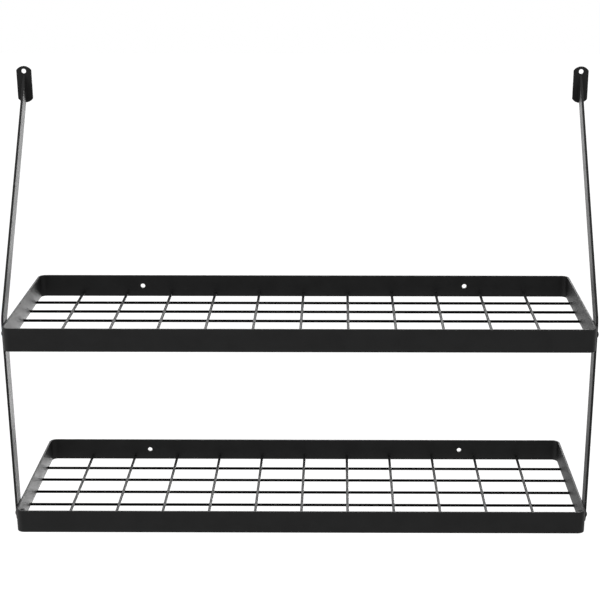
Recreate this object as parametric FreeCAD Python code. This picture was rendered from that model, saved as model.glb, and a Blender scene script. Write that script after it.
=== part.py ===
import FreeCAD, Part
import math
import os

os.makedirs("parts", exist_ok=True)

# Two-tier wall rack of black coated steel, in millimetres.
# +X is right, +Y goes into the wall, +Z is up. The wall plane is Y = 0.
# The origin lies on the wall plane, midway between the screw holes of the two wall tabs.

# Shelf rims: flat bar on edge, bent into a rounded rectangle
SHELF_WIDTH = 610.0
SHELF_DEPTH = 190.0
RIM_HEIGHT = 25.0
RIM_THICKNESS = 2.0
RIM_CORNER_RADIUS = 8.0
TAB_HOLES_ABOVE_UPPER_SHELF = 259.5
TIER_SPACING = 206.0

# Wire grid: cross wires run wall to front on top of long wires that run left to right
WIRE_DIAMETER = 3.0
CROSS_WIRE_COUNT = 11
LONG_WIRE_COUNT = 5
CROSSING_CLEARANCE = 0.02

# Wall screw holes, in the back of each rim and in each wall tab
WALL_HOLE_DIAMETER = 5.2
RIM_HOLE_SPACING = 371.0

# Hanger bars: flat bar outside the side rims, bent back to the wall above the upper shelf
BAR_WIDTH = 16.0
BAR_THICKNESS = 2.5
BAR_CENTRE_FROM_FRONT = 22.0
BEND_ABOVE_UPPER_RIM = 2.5
BEND_INSIDE_RADIUS = 4.0
BAR_SEAT_BELOW_TAB_HOLE = 17.6

# Wall tabs: plates with arched ends, welded across the bars' upper ends
TAB_WIDTH = 16.5
TAB_THICKNESS = 2.0
TAB_ABOVE_HOLE = 5.5
TAB_BELOW_HOLE = 34.5
TAB_END_RISE = 4.4

# Screws and nuts that hold each bar to the side of each rim
SCREW_DIAMETER = 4.0
SCREW_HEAD_DIAMETER = 9.0
SCREW_HEAD_HEIGHT = 2.6
SCREW_HOLE_CLEARANCE = 0.25
SOCKET_ACROSS_FLATS = 2.5
SOCKET_DEPTH = 1.4
SCREW_TIP_PAST_NUT = 0.8
NUT_ACROSS_FLATS = 7.0
NUT_THICKNESS = 3.2
NUT_THREAD_CLEARANCE = 0.05
NUT_CHAMFER_ANGLE = 30.0

# Coated edges of all flat stock
EDGE_ROUND = 0.4
LARGEST_ROUND_SHARE = 0.4

# Places worked out from the sizes above
HALF_WIDTH = SHELF_WIDTH / 2
UPPER_SHELF_BOTTOM = -TAB_HOLES_ABOVE_UPPER_SHELF
LOWER_SHELF_BOTTOM = UPPER_SHELF_BOTTOM - TIER_SPACING
SHELF_BOTTOMS = {"upper": UPPER_SHELF_BOTTOM, "lower": LOWER_SHELF_BOTTOM}
SIDES = {"left": -1, "right": 1}
BAR_CENTRE_Y = -SHELF_DEPTH + BAR_CENTRE_FROM_FRONT
BAR_OUTER_X = HALF_WIDTH + BAR_THICKNESS
RIM_INNER_X = HALF_WIDTH - RIM_THICKNESS
TAB_CENTRE_X = HALF_WIDTH + BAR_THICKNESS / 2
TAB_FACE_Y = -TAB_THICKNESS
SCREW_HOLE_RADIUS = SCREW_DIAMETER / 2 + SCREW_HOLE_CLEARANCE

X_AXIS = FreeCAD.Vector(1, 0, 0)
Y_AXIS = FreeCAD.Vector(0, 1, 0)
Z_AXIS = FreeCAD.Vector(0, 0, 1)
FULL_TURN = 360
ROUNDING_ERROR = 1e-6


def point(x, y, z):
    return FreeCAD.Vector(x, y, z)


def line(start, end):
    return Part.LineSegment(start, end).toShape()


def arc(start, middle, end):
    return Part.Arc(start, middle, end).toShape()


def write(name, shape):
    shape.exportStep("parts/" + name + ".step")


def flat(low, high):
    """True where a box has no thickness between two limits."""
    return abs(high - low) < ROUNDING_ERROR


def rounded(solid, wall, chosen):
    """Rounds the edges whose box is chosen, by no more than a share of the wall between two of them."""
    radius = min(EDGE_ROUND, LARGEST_ROUND_SHARE * wall)
    return solid.makeFillet(radius, [edge for edge in solid.Edges if chosen(edge.BoundBox)])


def rounded_block(inset, radius, bottom):
    """Upright block with the rim's outline drawn in by inset."""
    left = -HALF_WIDTH + inset
    front = -SHELF_DEPTH + inset
    width = SHELF_WIDTH - 2 * inset
    depth = SHELF_DEPTH - 2 * inset
    block = Part.makeBox(width, depth, RIM_HEIGHT, point(left, front, bottom))
    boxes = [(edge, edge.BoundBox) for edge in block.Edges]
    uprights = [edge for edge, box in boxes if flat(box.XMin, box.XMax) and flat(box.YMin, box.YMax)]
    return block.makeFillet(radius, uprights)


def shelf_rim(bottom):
    outer = rounded_block(0.0, RIM_CORNER_RADIUS, bottom)
    inner = rounded_block(RIM_THICKNESS, RIM_CORNER_RADIUS - RIM_THICKNESS, bottom)
    rim = rounded(outer.cut(inner), RIM_THICKNESS, lambda box: flat(box.ZMin, box.ZMax))
    middle = bottom + RIM_HEIGHT / 2
    for side in SIDES.values():
        wall_hole = Part.makeCylinder(
            WALL_HOLE_DIAMETER / 2, RIM_THICKNESS,
            point(side * RIM_HOLE_SPACING / 2, -RIM_THICKNESS, middle), Y_AXIS)
        screw_hole = Part.makeCylinder(
            SCREW_HOLE_RADIUS, RIM_THICKNESS,
            point(side * RIM_INNER_X, BAR_CENTRE_Y, middle), X_AXIS * side)
        rim = rim.cut(wall_hole).cut(screw_hole)
    return rim


def long_wire_height(bottom):
    """Axis of the long wires, whose undersides are level with the rim's lower edge."""
    return bottom + WIRE_DIAMETER / 2


def long_wire(number, bottom):
    """Runs between the rim's side walls; number 1 is next to the wall."""
    y = -number * SHELF_DEPTH / (LONG_WIRE_COUNT + 1)
    start = point(-RIM_INNER_X, y, long_wire_height(bottom))
    return Part.makeCylinder(WIRE_DIAMETER / 2, 2 * RIM_INNER_X, start, X_AXIS)


def cross_wire(number, bottom):
    """Runs between the rim's front and back walls on top of the long wires; number 1 is at the left."""
    x = -HALF_WIDTH + number * SHELF_WIDTH / (CROSS_WIRE_COUNT + 1)
    z = long_wire_height(bottom) + WIRE_DIAMETER + CROSSING_CLEARANCE
    start = point(x, -SHELF_DEPTH + RIM_THICKNESS, z)
    return Part.makeCylinder(WIRE_DIAMETER / 2, SHELF_DEPTH - 2 * RIM_THICKNESS, start, Y_AXIS)


def hanger_bar(side):
    """Upright leg past both shelves, a bend, then a slope that ends flat on the wall tab."""
    half = BAR_WIDTH / 2
    x = HALF_WIDTH
    lower_screw_z = LOWER_SHELF_BOTTOM + RIM_HEIGHT / 2
    upper_screw_z = UPPER_SHELF_BOTTOM + RIM_HEIGHT / 2
    bend_z = UPPER_SHELF_BOTTOM + RIM_HEIGHT + BEND_ABOVE_UPPER_RIM
    rise = -BAR_SEAT_BELOW_TAB_HOLE - bend_z
    run = TAB_FACE_Y - BAR_CENTRE_Y
    lean = math.atan2(run, rise)
    along = point(0, math.sin(lean), math.cos(lean))
    across = point(0, math.cos(lean), -math.sin(lean))
    seat_half = half / math.sin(lean)

    # The bend turns about a centre behind the bar, so both edges share it.
    turn_radius = BEND_INSIDE_RADIUS + half
    tangent = turn_radius * math.tan(lean / 2)
    leg_end = point(x, BAR_CENTRE_Y, bend_z - tangent)
    slope_start = point(x, BAR_CENTRE_Y, bend_z) + along * tangent
    turn_centre = leg_end + Y_AXIS * turn_radius
    halfway = point(0, -math.cos(lean / 2), math.sin(lean / 2))

    foot_front = point(x, BAR_CENTRE_Y - half, lower_screw_z)
    foot_rear = point(x, BAR_CENTRE_Y + half, lower_screw_z)
    foot_low = point(x, BAR_CENTRE_Y, lower_screw_z - half)
    leg_front = leg_end - Y_AXIS * half
    leg_rear = leg_end + Y_AXIS * half
    slope_front = slope_start - across * half
    slope_rear = slope_start + across * half
    seat_top = point(x, TAB_FACE_Y, -BAR_SEAT_BELOW_TAB_HOLE + seat_half)
    seat_bottom = point(x, TAB_FACE_Y, -BAR_SEAT_BELOW_TAB_HOLE - seat_half)

    outline = Part.Wire([
        arc(foot_rear, foot_low, foot_front),
        line(foot_front, leg_front),
        arc(leg_front, turn_centre + halfway * (turn_radius + half), slope_front),
        line(slope_front, seat_top),
        line(seat_top, seat_bottom),
        line(seat_bottom, slope_rear),
        arc(slope_rear, turn_centre + halfway * BEND_INSIDE_RADIUS, leg_rear),
        line(leg_rear, foot_rear),
    ])
    bar = Part.Face(outline).extrude(X_AXIS * BAR_THICKNESS)
    bar = rounded(bar, BAR_THICKNESS,
                  lambda box: flat(box.XMin, box.XMax) and box.YMin < TAB_FACE_Y - EDGE_ROUND)
    for z in (lower_screw_z, upper_screw_z):
        bar = bar.cut(Part.makeCylinder(SCREW_HOLE_RADIUS, BAR_THICKNESS, point(x, BAR_CENTRE_Y, z), X_AXIS))
    return bar if side > 0 else bar.mirror(point(0, 0, 0), X_AXIS)


def wall_tab(side):
    """Plate against the wall with arched ends; only its front edges are rounded."""
    x = side * TAB_CENTRE_X
    left = x - TAB_WIDTH / 2
    right = x + TAB_WIDTH / 2
    top_left = point(left, 0, TAB_ABOVE_HOLE - TAB_END_RISE)
    top_right = point(right, 0, TAB_ABOVE_HOLE - TAB_END_RISE)
    bottom_left = point(left, 0, -TAB_BELOW_HOLE + TAB_END_RISE)
    bottom_right = point(right, 0, -TAB_BELOW_HOLE + TAB_END_RISE)
    outline = Part.Wire([
        arc(top_left, point(x, 0, TAB_ABOVE_HOLE), top_right),
        line(top_right, bottom_right),
        arc(bottom_right, point(x, 0, -TAB_BELOW_HOLE), bottom_left),
        line(bottom_left, top_left),
    ])
    tab = Part.Face(outline).extrude(Y_AXIS * -TAB_THICKNESS)
    tab = rounded(tab, TAB_THICKNESS, lambda box: flat(box.YMin, box.YMax) and box.YMax < TAB_FACE_Y / 2)
    hole = Part.makeCylinder(WALL_HOLE_DIAMETER / 2, TAB_THICKNESS, point(x, TAB_FACE_Y, 0), Y_AXIS)
    return tab.cut(hole)


def hexagon(across_flats, length):
    """Upright six-sided prism on the XY plane, with a flat towards +X."""
    reach = across_flats / math.sqrt(3)
    turns = [(step + 0.5) * math.pi / 3 for step in range(7)]
    corners = [point(reach * math.cos(turn), reach * math.sin(turn), 0) for turn in turns]
    return Part.Face(Part.makePolygon(corners)).extrude(Z_AXIS * length)


def place(shape, side, x, z):
    """Turns a piece made along +Z to point outwards along X, with its base at x on a bar's centre line."""
    placed = shape.copy()
    placed.Placement = FreeCAD.Placement(
        point(side * x, BAR_CENTRE_Y, z), FreeCAD.Rotation(Z_AXIS, X_AXIS * side))
    return placed


def hanger_screw():
    """Dome head above the XY plane with a six-sided socket, and a plain shank below it."""
    head_radius = SCREW_HEAD_DIAMETER / 2
    dome_radius = (head_radius ** 2 + SCREW_HEAD_HEIGHT ** 2) / (2 * SCREW_HEAD_HEIGHT)
    half_angle = math.asin(head_radius / dome_radius) / 2
    dome_centre = point(0, 0, SCREW_HEAD_HEIGHT - dome_radius)
    dome_middle = dome_centre + point(math.sin(half_angle), 0, math.cos(half_angle)) * dome_radius
    shank_radius = SCREW_DIAMETER / 2
    shank_end = -(BAR_THICKNESS + RIM_THICKNESS + NUT_THICKNESS + SCREW_TIP_PAST_NUT)
    profile = Part.Wire([
        line(point(0, 0, shank_end), point(shank_radius, 0, shank_end)),
        line(point(shank_radius, 0, shank_end), point(shank_radius, 0, 0)),
        line(point(shank_radius, 0, 0), point(head_radius, 0, 0)),
        arc(point(head_radius, 0, 0), dome_middle, point(0, 0, SCREW_HEAD_HEIGHT)),
        line(point(0, 0, SCREW_HEAD_HEIGHT), point(0, 0, shank_end)),
    ])
    socket = hexagon(SOCKET_ACROSS_FLATS, SCREW_HEAD_HEIGHT)
    socket.translate(Z_AXIS * (SCREW_HEAD_HEIGHT - SOCKET_DEPTH))
    return Part.Face(profile).revolve(point(0, 0, 0), Z_AXIS, FULL_TURN).cut(socket)


def hanger_nut():
    """Six-sided nut with chamfered corners, standing on the XY plane."""
    reach = NUT_ACROSS_FLATS / math.sqrt(3)
    drop = (reach - NUT_ACROSS_FLATS / 2) * math.tan(math.radians(NUT_CHAMFER_ANGLE))
    profile = Part.makePolygon([
        point(0, 0, 0),
        point(NUT_ACROSS_FLATS / 2, 0, 0),
        point(reach, 0, drop),
        point(reach, 0, NUT_THICKNESS - drop),
        point(NUT_ACROSS_FLATS / 2, 0, NUT_THICKNESS),
        point(0, 0, NUT_THICKNESS),
        point(0, 0, 0),
    ])
    chamfered = Part.Face(profile).revolve(point(0, 0, 0), Z_AXIS, FULL_TURN)
    thread = Part.makeCylinder(SCREW_DIAMETER / 2 + NUT_THREAD_CLEARANCE, NUT_THICKNESS)
    return hexagon(NUT_ACROSS_FLATS, NUT_THICKNESS).common(chamfered).cut(thread)


for tier, tier_bottom in SHELF_BOTTOMS.items():
    write(tier + "_shelf_rim", shelf_rim(tier_bottom))
    for wire in range(1, LONG_WIRE_COUNT + 1):
        write("%s_long_wire_%02d" % (tier, wire), long_wire(wire, tier_bottom))
    for wire in range(1, CROSS_WIRE_COUNT + 1):
        write("%s_cross_wire_%02d" % (tier, wire), cross_wire(wire, tier_bottom))

for name, side in SIDES.items():
    write(name + "_hanger_bar", hanger_bar(side))
    write(name + "_wall_tab", wall_tab(side))

screws = []
nuts = []
for side in SIDES.values():
    for tier_bottom in SHELF_BOTTOMS.values():
        middle = tier_bottom + RIM_HEIGHT / 2
        screws.append(place(hanger_screw(), side, BAR_OUTER_X, middle))
        nuts.append(place(hanger_nut(), side, RIM_INNER_X - NUT_THICKNESS, middle))
write("hanger_screws", Part.makeCompound(screws))
write("hanger_nuts", Part.makeCompound(nuts))
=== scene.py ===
import math

import bmesh
import bpy
from mathutils import Matrix, Vector


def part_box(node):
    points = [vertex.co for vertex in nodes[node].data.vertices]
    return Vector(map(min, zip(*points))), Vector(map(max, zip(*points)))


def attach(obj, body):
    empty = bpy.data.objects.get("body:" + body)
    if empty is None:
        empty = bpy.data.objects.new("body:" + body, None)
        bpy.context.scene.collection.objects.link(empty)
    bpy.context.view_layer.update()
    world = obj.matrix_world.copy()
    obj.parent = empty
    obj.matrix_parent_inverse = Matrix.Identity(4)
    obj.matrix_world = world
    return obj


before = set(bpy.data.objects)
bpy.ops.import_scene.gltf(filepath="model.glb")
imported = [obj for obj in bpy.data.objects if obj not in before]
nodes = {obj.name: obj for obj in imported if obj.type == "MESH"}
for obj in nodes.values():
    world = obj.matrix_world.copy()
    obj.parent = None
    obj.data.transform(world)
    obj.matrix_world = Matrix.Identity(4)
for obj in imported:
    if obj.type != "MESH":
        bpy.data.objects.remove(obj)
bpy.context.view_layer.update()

scene = bpy.context.scene

TIERS = ("upper", "lower")
SIDES = ("left", "right")
FIXINGS = ("hanger_screws", "hanger_nuts")

# Lengths are in metres. X runs to the right, Y towards the wall and Z up, from midway between the tab holes.

# Nuggets of metal squeezed out where wires cross.
NUGGET_HALF_WIDTH = 0.0011
NUGGET_HALF_HEIGHT = 0.0006
NUGGET_FINENESS = 2

# Collars round the wire ends. A collar's leg shows, and its root lies inside the wire and the rim.
COLLAR_LEG = 0.0003
COLLAR_ROOT = 0.0003
COLLAR_ARC_STEPS = 4
COLLAR_SIDES = 16
# Collars are cut off this far above the rim's lower edge, and points closer than the merge become one.
COLLAR_CUT_ROOM = 0.00001
COLLAR_MERGE = 1e-7

# Beads between bars and tabs. The sizes at a tip, at a shoulder and between ripples are shares of the radius.
BEAD_RADIUS = 0.0006
BEAD_RIPPLE_PITCH = 0.0018
BEAD_SIDES = 12
BEAD_TIP = 0.35
BEAD_SHOULDER = 0.75
BEAD_DIP = 0.9
# The heights between which the end of a bar sits on its tab.
BAR_SEAT_LOW = -0.0307
BAR_SEAT_HIGH = -0.0045

# The two blacks of each finish, and the coats' specular levels. The long wires get a darker, duller copy of
# the same coat: painted shade that makes them look darker than the cross wires.
COAT_DARK = (0.006, 0.006, 0.0062)
COAT_PALE = (0.009, 0.009, 0.0093)
COAT_GLOSS = 0.5
PAINTED_SHADE_WIRE_DARK = (0.002, 0.002, 0.0021)
PAINTED_SHADE_WIRE_PALE = (0.003, 0.003, 0.0031)
PAINTED_SHADE_WIRE_GLOSS = 0.05
FIXINGS_DARK = (0.005, 0.005, 0.0055)
FIXINGS_PALE = (0.011, 0.011, 0.012)
COAT_ROUGHNESS = (0.52, 0.58)
FIXINGS_ROUGHNESS = (0.5, 0.6)

# Noise patterns in the finishes, in repeats per metre, and the bumps that they raise.
CLOUD_SCALE = 60
PEEL_SCALE = 900
PEEL_HEIGHT = 0.0001
PEEL_STRENGTH = 0.12
COAT_GRAIN_SCALE = 4200
MOTTLE_SCALE = 700
FIXINGS_GRAIN_SCALE = 5000
GRAIN_HEIGHT = 0.00003
GRAIN_STRENGTH = 0.15
# The noise values over which roughness and colour change.
ROUGHNESS_ACROSS = (0.3, 0.7)
COLOUR_ACROSS = (0.35, 0.65)

# The camera at the photograph's viewing angle. Angles are in degrees, lens and sensor in millimetres, and
# the shift in widths of the frame.
CAMERA_PLACE = (0.0387, -1.4935, 0.2196)
CAMERA_TILT_DOWN = 17.961
CAMERA_TURN = 0.333
CAMERA_LENS = 81.223
CAMERA_SENSOR = 36.0
CAMERA_SHIFT = -0.04914

# A pale floor far below the rack, and how strongly it glows to the camera.
FLOOR_HEIGHT = -1.6
FLOOR_SPAN = 24.0
FLOOR_COLOUR = (0.9, 0.9, 0.9, 1)
FLOOR_ROUGHNESS = 0.9
FLOOR_GLOW = 0.55

# The studio's light on matt surfaces, and the brightness of its camera side as the coat mirrors it: low down,
# high up and on the left. White is 1.
WHITE = (1, 1, 1, 1)
STUDIO_LIGHT = 0.6
FRONT_LOW_LEVEL = 0.335
FRONT_HIGH_LEVEL = 0.48
FRONT_LEFT_LEVEL = 0.62
# The ranges of a mirrored direction's Z, X and Y over which one level fades to the next.
UP_FADE = (-0.1, 0.1)
RIGHT_FADE = (-0.7, -0.3)
WALL_FADE = (0.0, 0.4)

# The soft boxes behind the rack stand at this depth and face the camera's side.
BACK_LAMP_DEPTH = 1.7
BACK_LAMP_FACING = (0, -1, 0)


def middle(node):
    """The centre of a CAD node's box."""
    low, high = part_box(node)
    return (low + high) / 2


def tier_wires(tier, kind):
    """The names of one tier's wires of one kind, in order."""
    return sorted(name for name in nodes if name.startswith(tier + "_" + kind))


def open_edges(mesh):
    """The edges of a mesh that border only one face."""
    return [edge for edge in mesh.edges if edge.is_boundary]


def make_weld(name, mesh, finish):
    """Turn a finished bmesh into a piece that rides on the rack."""
    bmesh.ops.recalc_face_normals(mesh, faces=mesh.faces[:])
    data = bpy.data.meshes.new(name)
    mesh.to_mesh(data)
    mesh.free()
    data.polygons.foreach_set("use_smooth", [True] * len(data.polygons))
    data.materials.append(finish)
    piece = bpy.data.objects.new(name, data)
    scene.collection.objects.link(piece)
    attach(piece, "root")


def add_node(tree, kind, **sockets):
    """Add a shader node and set its sockets by name."""
    node = tree.nodes.new(kind)
    for name, value in sockets.items():
        node.inputs[name.replace("_", " ")].default_value = value
    return node


def noise(tree, place, scale, detail, roughness):
    """A noise pattern over the piece, with its scale given in repeats per metre."""
    pattern = add_node(tree, "ShaderNodeTexNoise", Scale=scale, Detail=detail, Roughness=roughness)
    tree.links.new(place.outputs["Object"], pattern.inputs["Vector"])
    return pattern.outputs["Fac"]


def spread(tree, pattern, across, levels):
    """Map a range of noise values to a range of levels."""
    node = add_node(tree, "ShaderNodeMapRange", From_Min=across[0], From_Max=across[1],
                    To_Min=levels[0], To_Max=levels[1])
    tree.links.new(pattern, node.inputs["Value"])
    return node.outputs["Result"]


def fade(tree, source, across, levels):
    """Ease from one level to another as a value crosses a range.

    A level is a number or another node's output.
    """
    node = add_node(tree, "ShaderNodeMapRange", From_Min=across[0], From_Max=across[1])
    node.interpolation_type = "SMOOTHSTEP"
    for name, level in zip(("To Min", "To Max"), levels):
        if isinstance(level, bpy.types.NodeSocket):
            tree.links.new(level, node.inputs[name])
        else:
            node.inputs[name].default_value = level
    tree.links.new(source, node.inputs["Value"])
    return node.outputs["Result"]


def two_blacks(tree, pattern, dark, pale):
    """Blend a dark and a pale black by a noise pattern."""
    ramp = tree.nodes.new("ShaderNodeValToRGB")
    for stop, position, colour in zip(ramp.color_ramp.elements, COLOUR_ACROSS, (dark, pale)):
        stop.position = position
        stop.color = (*colour, 1)
    tree.links.new(pattern, ramp.inputs["Fac"])
    return ramp.outputs["Color"]


def bump(tree, pattern, height, strength):
    """A bump that a noise pattern raises."""
    node = add_node(tree, "ShaderNodeBump", Strength=strength, Distance=height)
    tree.links.new(pattern, node.inputs["Height"])
    return node


def new_material(name):
    """A new material, with its node tree and its shader."""
    material = bpy.data.materials.new(name)
    material.use_nodes = True
    return material, material.node_tree, material.node_tree.nodes["Principled BSDF"]


def powder_coat(name, dark, pale, gloss):
    """Black powder coat, faintly clouded, with an orange-peel skin and a fine grain."""
    material, tree, shader = new_material(name)
    place = tree.nodes.new("ShaderNodeTexCoord")
    cloud = noise(tree, place, CLOUD_SCALE, detail=2, roughness=0.5)
    peel = noise(tree, place, PEEL_SCALE, detail=2, roughness=0.5)
    grain = noise(tree, place, COAT_GRAIN_SCALE, detail=1, roughness=0.5)
    shader.inputs["Specular IOR Level"].default_value = gloss
    tree.links.new(two_blacks(tree, cloud, dark, pale), shader.inputs["Base Color"])
    tree.links.new(spread(tree, cloud, ROUGHNESS_ACROSS, COAT_ROUGHNESS), shader.inputs["Roughness"])
    skin = bump(tree, peel, PEEL_HEIGHT, PEEL_STRENGTH)
    fine = bump(tree, grain, GRAIN_HEIGHT, GRAIN_STRENGTH)
    tree.links.new(skin.outputs["Normal"], fine.inputs["Normal"])
    tree.links.new(fine.outputs["Normal"], shader.inputs["Normal"])
    return material


def fixings_black():
    """The black finish of the screws and nuts, mottled and with a fine grain."""
    material, tree, shader = new_material("black_fixings")
    place = tree.nodes.new("ShaderNodeTexCoord")
    mottle = noise(tree, place, MOTTLE_SCALE, detail=3, roughness=0.6)
    grain = noise(tree, place, FIXINGS_GRAIN_SCALE, detail=2, roughness=0.6)
    tree.links.new(two_blacks(tree, mottle, FIXINGS_DARK, FIXINGS_PALE), shader.inputs["Base Color"])
    tree.links.new(spread(tree, mottle, ROUGHNESS_ACROSS, FIXINGS_ROUGHNESS), shader.inputs["Roughness"])
    fine = bump(tree, grain, GRAIN_HEIGHT, GRAIN_STRENGTH)
    tree.links.new(fine.outputs["Normal"], shader.inputs["Normal"])
    return material


def crossing_welds(tier, finish):
    """A flat nugget between each pair of crossing wires."""
    size = Vector((NUGGET_HALF_WIDTH, NUGGET_HALF_WIDTH, NUGGET_HALF_HEIGHT))
    mesh = bmesh.new()
    for long_wire in tier_wires(tier, "long_wire"):
        under = middle(long_wire)
        for cross_wire in tier_wires(tier, "cross_wire"):
            over = middle(cross_wire)
            place = Vector((over.x, under.y, (under.z + over.z) / 2))
            bmesh.ops.create_icosphere(mesh, subdivisions=NUGGET_FINENESS, radius=1,
                                       matrix=Matrix.LocRotScale(place, None, size))
    make_weld(tier + "_crossing_welds", mesh, finish)


def weld_collar(mesh, place, away, wire_radius):
    """A hollow fillet round a wire where it meets the rim. The direction away points along the wire."""
    side = away.orthogonal().normalized()
    inner = wire_radius - COLLAR_ROOT
    outer = wire_radius + COLLAR_LEG
    outline = [(inner, -COLLAR_ROOT), (outer, -COLLAR_ROOT)]
    for step in range(COLLAR_ARC_STEPS + 1):
        angle = math.radians(90) * step / COLLAR_ARC_STEPS
        outline.append((outer - COLLAR_LEG * math.sin(angle), COLLAR_LEG * (1 - math.cos(angle))))
    outline.append((inner, COLLAR_LEG))
    corners = [mesh.verts.new(place + side * out + away * along) for out, along in outline]
    edges = [mesh.edges.new(ends) for ends in zip(corners, corners[1:] + corners[:1])]
    bmesh.ops.spin(mesh, geom=corners + edges, cent=place, axis=away, angle=math.tau,
                   steps=COLLAR_SIDES, use_merge=True)


def wire_end_welds(tier, finish):
    """Collars at both ends of every wire, cut off just above the rim's lower edge."""
    mesh = bmesh.new()
    for kind, along in (("long_wire", Vector((1, 0, 0))), ("cross_wire", Vector((0, 1, 0)))):
        for wire in tier_wires(tier, kind):
            low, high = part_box(wire)
            reach = along * (high - low).dot(along) / 2
            radius = (high.z - low.z) / 2
            weld_collar(mesh, middle(wire) - reach, along, radius)
            weld_collar(mesh, middle(wire) + reach, -along, radius)
    bmesh.ops.remove_doubles(mesh, verts=mesh.verts[:], dist=COLLAR_MERGE)
    everything = mesh.verts[:] + mesh.edges[:] + mesh.faces[:]
    cut_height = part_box(tier + "_shelf_rim")[0].z + COLLAR_CUT_ROOM
    bmesh.ops.bisect_plane(mesh, geom=everything, dist=COLLAR_MERGE, plane_co=(0, 0, cut_height),
                           plane_no=(0, 0, -1), clear_outer=True)
    bmesh.ops.holes_fill(mesh, edges=open_edges(mesh), sides=0)
    make_weld(tier + "_wire_end_welds", mesh, finish)


def weld_bead(mesh, place, length):
    """A rippled bead that climbs a corner from a place, with rounded ends."""
    bmesh.ops.create_circle(mesh, cap_ends=True, segments=BEAD_SIDES, radius=BEAD_RADIUS * BEAD_TIP,
                            matrix=Matrix.Translation(place))
    edges = open_edges(mesh)
    ripples = int(length / BEAD_RIPPLE_PITCH)
    sizes = [BEAD_SHOULDER, 1.0] + [BEAD_DIP, 1.0] * ripples + [BEAD_SHOULDER, BEAD_TIP]
    rise = length / len(sizes)
    now = BEAD_TIP
    centre = Vector(place)
    for size in sizes:
        made = bmesh.ops.extrude_edge_only(mesh, edges=edges)["geom"]
        verts = [part for part in made if isinstance(part, bmesh.types.BMVert)]
        edges = [part for part in made if isinstance(part, bmesh.types.BMEdge)]
        centre.z += rise
        bmesh.ops.translate(mesh, verts=verts, vec=(0, 0, rise))
        bmesh.ops.scale(mesh, verts=verts, vec=(size / now, size / now, 1),
                        space=Matrix.Translation(-centre))
        now = size
    bmesh.ops.holes_fill(mesh, edges=open_edges(mesh), sides=0)


def tab_welds(side, finish):
    """Two beads that hold the end of a bar to its tab."""
    mesh = bmesh.new()
    bar_low, bar_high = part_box(side + "_hanger_bar")
    tab_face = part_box(side + "_wall_tab")[0].y
    for bar_face in (bar_low.x, bar_high.x):
        weld_bead(mesh, Vector((bar_face, tab_face, BAR_SEAT_LOW)), BAR_SEAT_HIGH - BAR_SEAT_LOW)
    make_weld(side + "_tab_welds", mesh, finish)


def either_ray(tree, rays, one_kind, other_kind):
    """1 for a ray of either kind, and otherwise 0."""
    either = tree.nodes.new("ShaderNodeMath")
    either.operation = "MAXIMUM"
    tree.links.new(rays.outputs[one_kind], either.inputs[0])
    tree.links.new(rays.outputs[other_kind], either.inputs[1])
    return either.outputs[0]


def choose(tree, choice, at_zero, at_one):
    """One shader where the choice is 0, and another where it is 1."""
    mix = tree.nodes.new("ShaderNodeMixShader")
    tree.links.new(choice, mix.inputs["Fac"])
    tree.links.new(at_zero, mix.inputs[1])
    tree.links.new(at_one, mix.inputs[2])
    return mix.outputs["Shader"]


def build_stage():
    """A wide pale floor well below the rack. It glows to the camera, and the coat doesn't mirror it."""
    mesh = bmesh.new()
    bmesh.ops.create_grid(mesh, x_segments=1, y_segments=1, size=FLOOR_SPAN / 2,
                          matrix=Matrix.Translation((0, 0, FLOOR_HEIGHT)))
    data = bpy.data.meshes.new("floor")
    mesh.to_mesh(data)
    mesh.free()
    floor = bpy.data.objects.new("floor", data)
    scene.collection.objects.link(floor)
    floor.visible_glossy = False
    material, tree, shader = new_material("floor")
    data.materials.append(material)
    shader.inputs["Base Color"].default_value = FLOOR_COLOUR
    shader.inputs["Roughness"].default_value = FLOOR_ROUGHNESS
    rays = tree.nodes.new("ShaderNodeLightPath")
    glow = tree.nodes.new("ShaderNodeMath")
    glow.operation = "MULTIPLY"
    glow.inputs[1].default_value = FLOOR_GLOW
    tree.links.new(either_ray(tree, rays, "Is Camera Ray", "Is Transmission Ray"), glow.inputs[0])
    white = add_node(tree, "ShaderNodeEmission", Color=WHITE)
    tree.links.new(glow.outputs[0], white.inputs["Strength"])
    both = tree.nodes.new("ShaderNodeAddShader")
    tree.links.new(shader.outputs["BSDF"], both.inputs[0])
    tree.links.new(white.outputs["Emission"], both.inputs[1])
    tree.links.new(both.outputs["Shader"], tree.nodes["Material Output"].inputs["Surface"])


def build_world():
    """A studio that is white to the camera, and dimmer on the camera's side as the coat mirrors it."""
    world = bpy.data.worlds.new("studio")
    scene.world = world
    world.use_nodes = True
    tree = world.node_tree
    light = tree.nodes["Background"]
    light.inputs["Color"].default_value = WHITE
    light.inputs["Strength"].default_value = STUDIO_LIGHT
    seen = add_node(tree, "ShaderNodeBackground", Color=WHITE, Strength=1.0)
    mirrored = add_node(tree, "ShaderNodeBackground", Strength=1.0)
    place = tree.nodes.new("ShaderNodeTexCoord")
    axes = tree.nodes.new("ShaderNodeSeparateXYZ")
    tree.links.new(place.outputs["Generated"], axes.inputs["Vector"])
    front = fade(tree, axes.outputs["Z"], UP_FADE, (FRONT_LOW_LEVEL, FRONT_HIGH_LEVEL))
    front = fade(tree, axes.outputs["X"], RIGHT_FADE, (FRONT_LEFT_LEVEL, front))
    level = fade(tree, axes.outputs["Y"], WALL_FADE, (front, 1.0))
    tree.links.new(level, mirrored.inputs["Color"])
    rays = tree.nodes.new("ShaderNodeLightPath")
    mirror_ray = either_ray(tree, rays, "Is Glossy Ray", "Is Transmission Ray")
    unseen = choose(tree, mirror_ray, light.outputs["Background"], mirrored.outputs["Background"])
    surround = choose(tree, rays.outputs["Is Camera Ray"], unseen, seen.outputs["Background"])
    tree.links.new(surround, tree.nodes["World Output"].inputs["Surface"])


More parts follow.
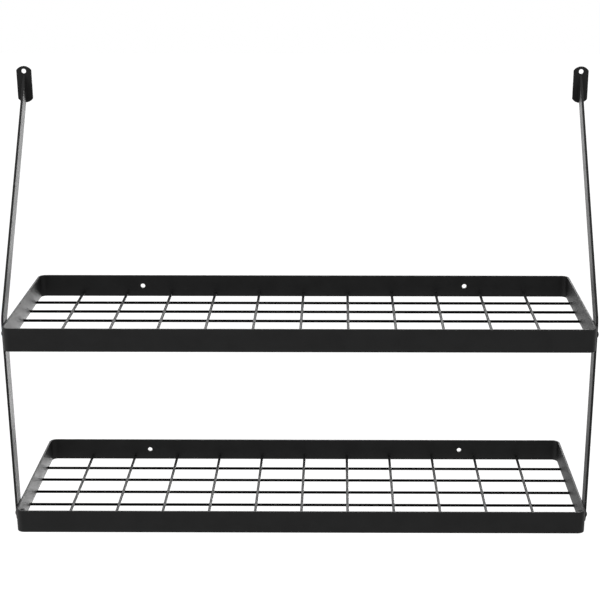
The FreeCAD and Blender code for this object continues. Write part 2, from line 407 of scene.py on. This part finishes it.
def soft_lamp(name, place, facing, size, power):
    """A soft box that shines one way and isn't seen by the camera itself."""
    data = bpy.data.lights.new(name, "AREA")
    data.shape = "RECTANGLE"
    data.size, data.size_y = size
    data.energy = power
    lamp = bpy.data.objects.new(name, data)
    lamp.location = place
    lamp.rotation_euler = Vector(facing).to_track_quat("-Z", "Y").to_euler()
    lamp.visible_camera = False
    scene.collection.objects.link(lamp)


def back_lamp(name, right, up, size, power):
    """A soft box behind the rack."""
    soft_lamp(name, (right, BACK_LAMP_DEPTH, up), BACK_LAMP_FACING, size, power)


def build_camera():
    """The photograph's camera."""
    data = bpy.data.cameras.new("camera")
    data.lens = CAMERA_LENS
    data.sensor_width = CAMERA_SENSOR
    data.shift_x = CAMERA_SHIFT
    camera = bpy.data.objects.new("camera", data)
    camera.location = CAMERA_PLACE
    camera.rotation_euler = (math.radians(90 - CAMERA_TILT_DOWN), 0, math.radians(CAMERA_TURN))
    scene.collection.objects.link(camera)
    scene.camera = camera


coat = powder_coat("black_powder_coat", COAT_DARK, COAT_PALE, COAT_GLOSS)
# The long wires' copy of the coat, darker and duller: painted shade, not a coat of its own.
long_wire_coat = powder_coat("long_wire_coat", PAINTED_SHADE_WIRE_DARK, PAINTED_SHADE_WIRE_PALE, PAINTED_SHADE_WIRE_GLOSS)
fixings_finish = fixings_black()
for name, node in nodes.items():
    node_finish = coat
    if name in FIXINGS:
        node_finish = fixings_finish
    # Long wires take the copy of the coat with painted shade.
    elif "long_wire" in name:
        node_finish = long_wire_coat
    for slot in node.material_slots:
        slot.material = node_finish
for tier in TIERS:
    crossing_welds(tier, coat)
    wire_end_welds(tier, coat)
for side in SIDES:
    tab_welds(side, coat)

build_stage()
build_world()
soft_lamp("overhead_lamp", place=(0, -0.4, 1.9), facing=(0, 0.4, -2.1), size=(1.6, 1.6), power=5)
back_lamp("back_top_lamp", right=0, up=0.45, size=(1.0, 0.5), power=10)
back_lamp("back_right_lamp", right=0.75, up=-0.45, size=(0.5, 1.1), power=16)
back_lamp("back_right_low_lamp", right=0.75, up=-1.2, size=(0.5, 0.6), power=14.5)
back_lamp("back_left_lamp", right=-0.75, up=-0.35, size=(0.5, 1.1), power=6.4)
back_lamp("back_middle_lamp", right=-0.25, up=-0.1, size=(0.5, 0.6), power=3.4)
build_camera()
scene.view_settings.view_transform = "Standard"
